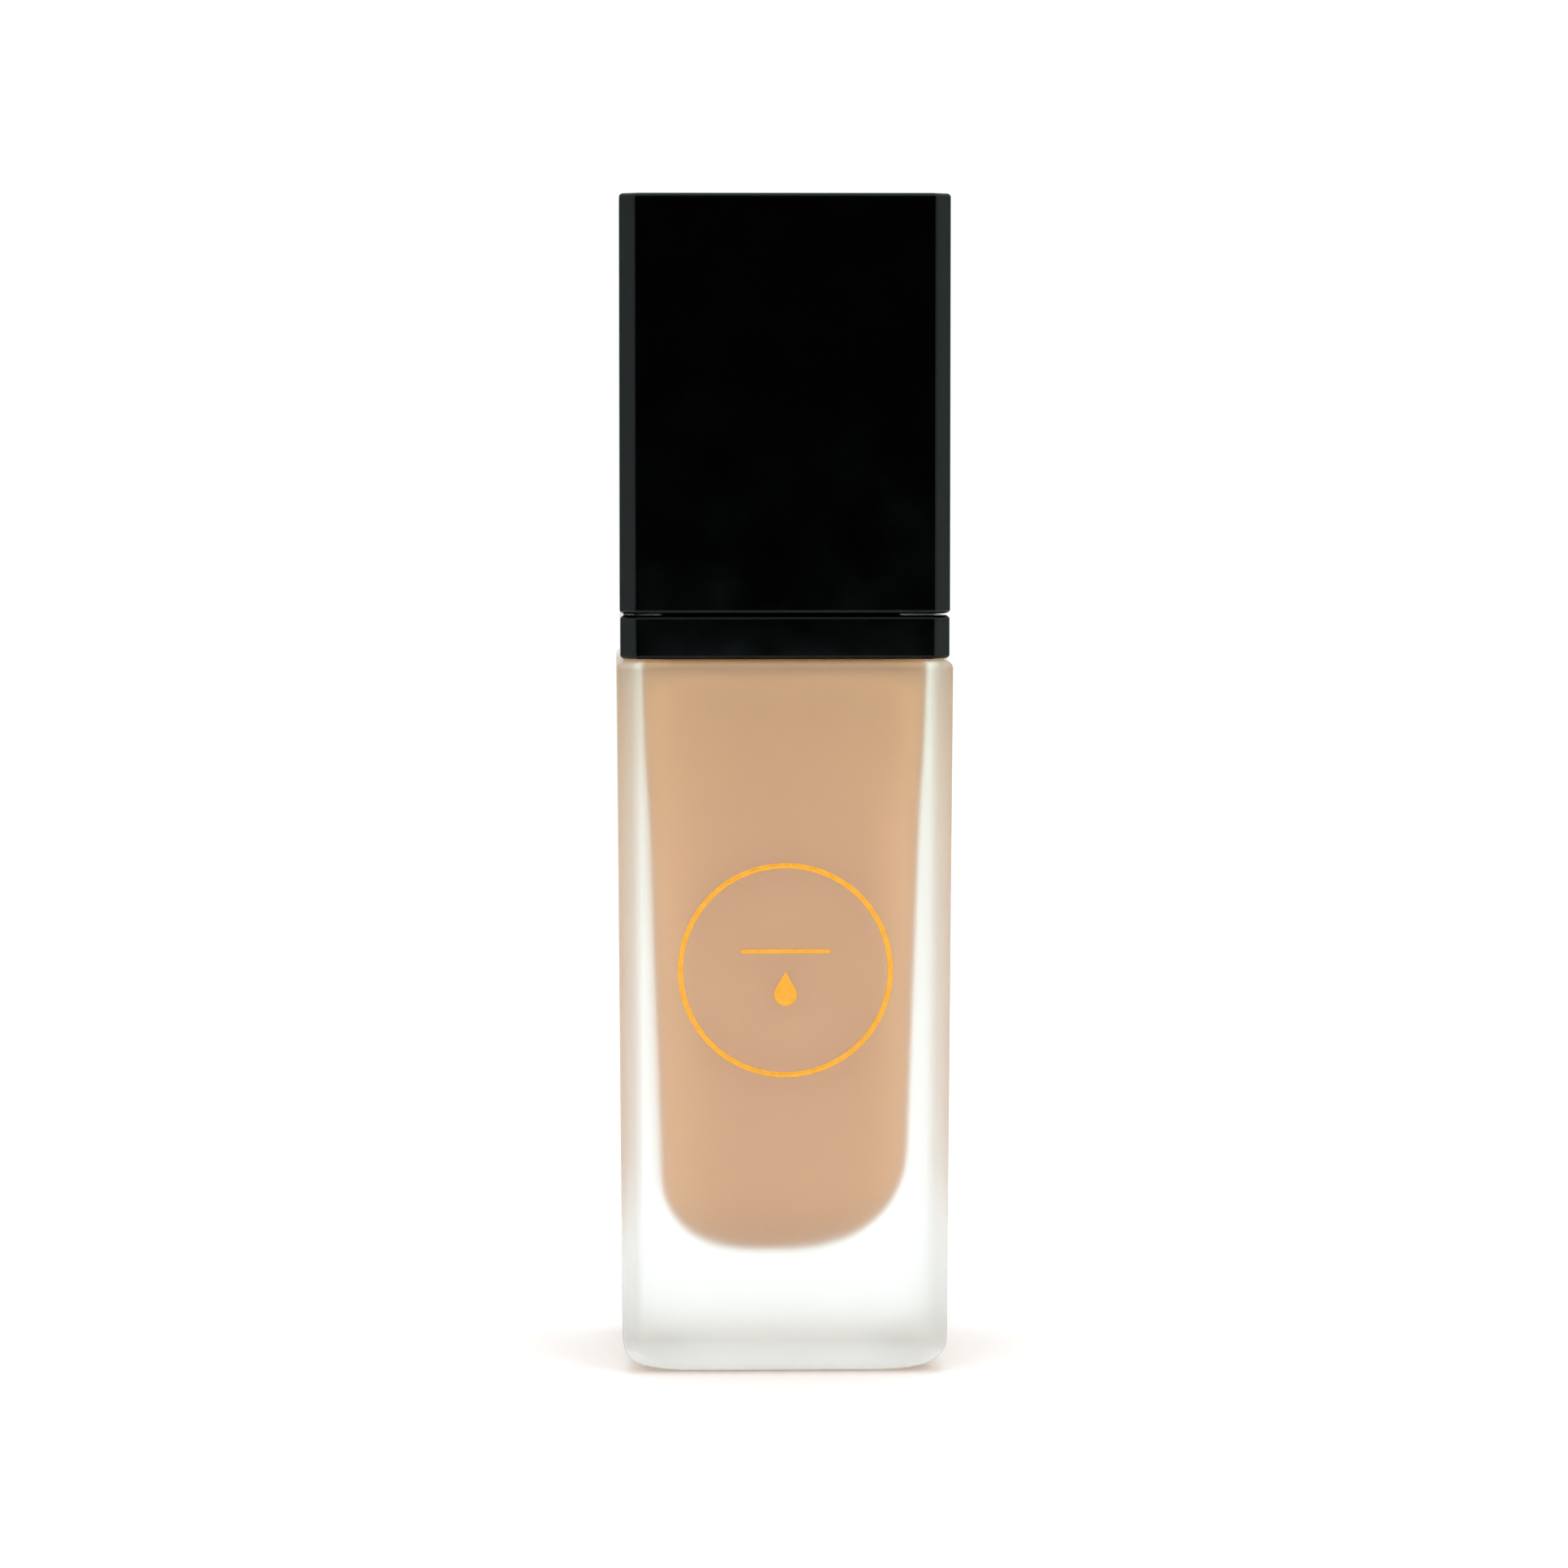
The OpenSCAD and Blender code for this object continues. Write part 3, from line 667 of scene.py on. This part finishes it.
def make_collar():
    """A square deck with a recess for the glass, and the round upstand that the cap grips."""
    mesh = bmesh.new()
    half, low, top = COLLAR_HIGH.x, COLLAR_LOW.z, COLLAR_HIGH.z
    add_square_ring(mesh, soften([
        (half - DECK_RIM, CORNER, DECK_TOP), (half - LEVEL, CORNER, DECK_TOP),
        (half, CORNER, DECK_TOP - LEVEL), (half, CORNER, low + LEVEL), (half - LEVEL, CORNER, low),
        (half - SKIRT, RECESS_C, low), (half - SKIRT, RECESS_C, RECESS_TOP),
        (half - 2 * SKIRT, RECESS_C, RECESS_TOP),
    ]), DECK_R)
    root, sunk = DECK_TOP - 0.9, DECK_TOP - 0.05      # the upstand starts inside the deck
    add_turned(mesh, soften([
        (SEAT_R + 0.4, root), (SEAT_R + 0.4, sunk), (UPSTAND_R + FILLET, sunk),
        (UPSTAND_R, DECK_TOP + FILLET), (UPSTAND_R, top - UPSTAND_C), (UPSTAND_R - UPSTAND_C, top),
        (HOLE_R + HOLE_C, top), (HOLE_R, top - HOLE_C), (HOLE_R, top - LIP), (SEAT_R, top - LIP),
        (SEAT_R, root),
    ]))
    return keep_flats(new_object("collar", mesh))


def make_cap():
    """The square cap shell, open below."""
    half, low, top = CAP_HIGH.x, CAP_LOW.z, CAP_HIGH.z
    wall = half - CAP_WALL
    path = soften([
        (0, 0, CAP_CEILING), (wall, INNER_CORNER, CAP_CEILING), (wall, INNER_CORNER, low),
        (half - LEVEL, CORNER, low), (half, CORNER, low + LEVEL), (half, CORNER, top - LEVEL),
        (half - LEVEL, CORNER, top), (0, 0, top),
    ])
    return loft("cap", [chamfered(*numbers) for numbers in path])


def add_rib(mesh, i):
    """Adds the rib that runs from the liner's sleeve towards the cap's corner number i."""
    turn = Matrix.Rotation(math.pi / 4 * (2 * i + 1), 4, "Z")
    corner = (2 * LINER_HIGH.x - INNER_CORNER) / math.sqrt(2)
    low, top = LINER_LOW.z + LAP, LINER_HIGH.z - LAP
    rings = []
    for inset, z in soften([(RIB_C, low), (0, low), (0, top), (RIB_C, top)]):
        end = corner - RIB_GAP - inset
        points = rounded(LINER_R + RIB_ROOT, end, -RIB_HALF, RIB_HALF, RIB_C, z)
        rings.append([turn @ p for p in points])
    skin(mesh, rings, capped=True)


def make_liner():
    """The round sleeve inside the cap, with its ceiling, its lower plate and four ribs."""
    mesh = bmesh.new()
    half, low, top = LINER_HIGH.x, LINER_LOW.z, LINER_HIGH.z
    plate, ceiling = low + PLATE, top - PLATE
    add_square_ring(mesh, soften([
        (half - PLATE_RIM, INNER_CORNER, low), (half, INNER_CORNER, low),
        (half, INNER_CORNER, plate), (half - PLATE_RIM, INNER_CORNER, plate),
    ]), PLATE_R)
    lid = soften([
        (0, 0, ceiling), (half, INNER_CORNER, ceiling), (half, INNER_CORNER, top), (0, 0, top),
    ])
    skin(mesh, [chamfered(*numbers) for numbers in lid])
    sunk, outer = ceiling + LAP, LINER_R + LINER_WALL
    add_turned(mesh, soften([
        (LINER_R, sunk), (LINER_R, low + LEAD_H), (LINER_R + LEAD_C, low), (outer, low),
        (outer, sunk),
    ]))
    add_turned(mesh, soften([
        (STIFFENER_R - 0.4, sunk), (STIFFENER_R - 0.3, ceiling - 0.4),
        (STIFFENER_R + 0.3, ceiling - 0.4), (STIFFENER_R + 0.4, sunk),
    ]))
    gate_mark = [
        (0, ceiling - 0.15), (0.6, ceiling - 0.2), (1, ceiling - 0.1), (1.1, sunk), (0, sunk),
    ]
    add_turned(mesh, soften(gate_mark), closed=False)
    for i in range(4):
        add_rib(mesh, i)
    return keep_flats(new_object("cap_liner", mesh))


stand_for(make_collar(), "square_collar")
stand_for(make_cap(), "overcap_shell")
stand_for(make_liner(), "overcap_liner")


# ---- Button, spout and spring ----

BUTTON_LOW, BUTTON_HIGH = spans("actuator_shell")
BUTTON_WALL = 1.2
BUTTON_CEILING = BUTTON_HIGH.z - 1.7
BUTTON_C = 0.6          # bevel round its top
BUTTON_FOOT_C = 0.2     # bevel round its foot
FINGER_R, FINGER_DEPTH = 45.0, 0.5      # the finger dish
DISH_STEPS, SIDE_STEPS = 9, 10          # more rings keep the surface smooth beside the window
WINDOW_LOW = 5.9        # how far from the axis the window's cutter starts
WINDOW_GAP = 0.1        # gap round the spout
WINDOW_C = 0.25         # bevel round the window
SPOUT_LOW, SPOUT_HIGH = spans("nozzle_insert")
SPOUT_R = SPOUT_HIGH.x
SPOUT_Z = SPOUT_HIGH.z - SPOUT_R
SPOUT_Y = -SPOUT_LOW.y
PLUG_LOW, PLUG_HIGH, PLUG_R = 3.6, 6, 1.7      # the spout's plug, from the axis outwards
CHANNEL_R, ORIFICE_R = 1.1, 0.6
SINK_R, SINK_DEPTH = 1.15, 0.2                 # the countersink round the orifice
SPRING_LOW, SPRING_HIGH = spans("return_spring")
WIRE = 0.3
CLOSED_RISE = 0.612     # rise of a closed end turn
SPRING_TURNS = 6.5
COIL_STEPS, WIRE_STEPS = 48, 12

FORWARD = Matrix.Translation((0, 0, SPOUT_Z * MM)) @ Matrix.Rotation(math.pi / 2, 4, "X")


def make_button():
    """The button's glossy cup: a finger dish above, and a window for the spout in front."""
    r, low, top = BUTTON_HIGH.x, BUTTON_LOW.z, BUTTON_HIGH.z
    inner = r - BUTTON_WALL
    centre = top - FINGER_DEPTH + FINGER_R
    rim = math.sqrt(FINGER_R**2 - (centre - top) ** 2)
    dish = [
        (rim * s, centre - math.sqrt(FINGER_R**2 - (rim * s) ** 2))
        for s in np.linspace(1, 0, DISH_STEPS)
    ]
    side = [(r, float(z)) for z in np.linspace(low + 1, top - 1.4, SIDE_STEPS)]
    walls = soften([
        (0, BUTTON_CEILING), (inner, BUTTON_CEILING), (inner, low), (r - BUTTON_FOOT_C, low),
        (r, low + BUTTON_FOOT_C), *side, (r, top - BUTTON_C), (r - BUTTON_C, top), *dish[:2],
    ], reach=0.25)[:-1]
    cup = turned("button", [*walls, *dish[1:]], closed=False)
    window, past = SPOUT_R + WINDOW_GAP, r + 0.3
    cutter = turned("window", soften([
        (0, WINDOW_LOW), (window, WINDOW_LOW), (window, r - 0.35), (window + WINDOW_C, past),
        (0, past),
    ]), closed=False, turn=FORWARD)
    return cut(cup, cutter)


def make_spout():
    """The spout: a plug in the core, a collar that fills the window, and a countersunk orifice."""
    r, tip = SPOUT_R, SPOUT_Y
    sink = tip - SINK_DEPTH
    return turned("spout", soften([
        (CHANNEL_R, PLUG_LOW), (PLUG_R, PLUG_LOW), (PLUG_R, PLUG_HIGH), (r, PLUG_HIGH),
        (r, tip - 0.4), (r - 0.4, tip), (SINK_R + 0.2, tip), (SINK_R, sink), (SINK_R - 0.3, sink),
        (ORIFICE_R, tip - 0.45), (ORIFICE_R, tip - 1.4), (CHANNEL_R, tip - 1.4),
    ]), turn=FORWARD)


def make_spring():
    """A coil whose first and last turns are closed."""
    rise = SPRING_HIGH.z - SPRING_LOW.z - 2 * WIRE
    open_turns = SPRING_TURNS - 2
    pitch = (rise - 2 * CLOSED_RISE) / open_turns
    coil = SPRING_HIGH.x - WIRE
    rings = []
    for i in range(int(SPRING_TURNS * COIL_STEPS) + 1):
        turn = i / COIL_STEPS
        in_open = min(max(turn - 1, 0), open_turns)
        z = SPRING_LOW.z + WIRE + (turn - in_open) * CLOSED_RISE + in_open * pitch
        a = 2 * math.pi * turn
        out = Vector((math.cos(a), math.sin(a), 0))
        centre = out * coil + Vector((0, 0, z))
        ring = []
        for side in range(WIRE_STEPS):
            b = 2 * math.pi * side / WIRE_STEPS
            ring.append((centre + WIRE * (out * math.cos(b) + Vector((0, 0, math.sin(b))))) * MM)
        rings.append(ring)
    mesh = bmesh.new()
    skin(mesh, rings, capped=True)
    return keep_flats(new_object("spring", mesh))


stand_for(make_button(), "actuator_shell")
stand_for(make_spout(), "nozzle_insert")
spring = stand_for(make_spring(), "return_spring")
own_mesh(spring)

for name in (
    "neck_gasket", "snap_ring", "pump_housing", "dip_tube", "ball_retainer", "turret",
    "check_ball", "pump_stem", "piston_rod", "piston_seal", "actuator_core",
):
    dress(name)


# ---- Studio ----

CAMERA_AZIMUTH = -1.7
CAMERA_ELEVATION = 4.0
CAMERA_DISTANCE = 616.4
CAMERA_TARGET = (0.34, 0, 58)
LENS = 139
LIGHTS_TARGET = (0, 0, 60)
FLOOR_R = 1300          # radius of the flat floor
RIM_R = 700             # radius of the curve round it
WALL_H = 600            # height of the wall above the curve
CARD_HALF, CARD_H, CARD_Y = 310, 450, -1150    # the black card's half-width, height and place


def aim(thing, place, target):
    """Puts a light or the camera at a place, facing a target, in millimetres."""
    thing.location = Vector(place) * MM
    thing.rotation_euler = (Vector(target) - Vector(place)).to_track_quat("-Z", "Y").to_euler()


def add_light(name, place, size, power):
    """A square area light of so many watts, facing the middle of the bottle."""
    data = bpy.data.lights.new(name, "AREA")
    data.shape = "SQUARE"
    data.size = size * MM
    data.energy = power
    light = bpy.data.objects.new(name, data)
    bpy.context.scene.collection.objects.link(light)
    aim(light, place, LIGHTS_TARGET)


def add_floor():
    """A pale paper floor that curves up all round."""
    profile = [(0, 0), (FLOOR_R, 0)]
    for a in quarter(12)[1:]:
        profile.append((FLOOR_R + RIM_R * math.sin(a), RIM_R * (1 - math.cos(a))))
    profile.append((FLOOR_R + RIM_R, RIM_R + WALL_H))
    floor = turned("floor", profile, closed=False)
    material, tree, shader = principled("floor_paper", {"Roughness": 0.9})
    fibres = grain(tree, 3, detail=4)
    tone = ramp(tree, fibres, (0.3, (0.975, 0.975, 0.975)), (0.7, (0.985, 0.985, 0.985)))
    tree.links.new(tone, shader.inputs["Base Color"])
    floor.data.materials.append(material)


def add_flag():
    """A black card behind the camera, which only reflections see, as a studio has."""
    mesh = bmesh.new()
    corners = [(-CARD_HALF, 0), (CARD_HALF, 0), (CARD_HALF, CARD_H), (-CARD_HALF, CARD_H)]
    mesh.faces.new([mesh.verts.new(Vector((x, CARD_Y, z)) * MM) for x, z in corners])
    flag = new_object("flag", mesh)
    material, tree, shader = principled("flag_cloth", {
        "Base Color": (0.005, 0.005, 0.005, 1), "Roughness": 1.0, "Specular IOR Level": 0,
    })
    flag.data.materials.append(material)
    flag.visible_camera = False
    flag.visible_diffuse = False
    flag.visible_shadow = False
    flag.visible_transmission = False


def add_camera():
    """The camera, a little above the bottle's middle and a little to the left of its front."""
    data = bpy.data.cameras.new("camera")
    data.lens = LENS
    camera = bpy.data.objects.new("camera", data)
    bpy.context.scene.collection.objects.link(camera)
    a, e = math.radians(CAMERA_AZIMUTH), math.radians(CAMERA_ELEVATION)
    back = Vector((math.sin(a) * math.cos(e), -math.cos(a) * math.cos(e), math.sin(e)))
    target = Vector(CAMERA_TARGET)
    aim(camera, target + back * CAMERA_DISTANCE, target)
    bpy.context.scene.camera = camera


def add_world(strength):
    """Even white light from all round."""
    world = bpy.data.worlds.new("studio")
    world.use_nodes = True
    background = world.node_tree.nodes["Background"]
    background.inputs["Color"].default_value = (1, 1, 1, 1)
    background.inputs["Strength"].default_value = strength
    bpy.context.scene.world = world


bpy.context.scene.view_settings.view_transform = "Standard"    # keeps the photo's clean whites
add_floor()
add_flag()
add_light("key", (-600, -1100, 900), 700, 4)
add_light("fill", (700, -1050, 950), 700, 4.4)
add_light("top", (0, 100, 1300), 900, 4)
add_world(0.88)
add_camera()
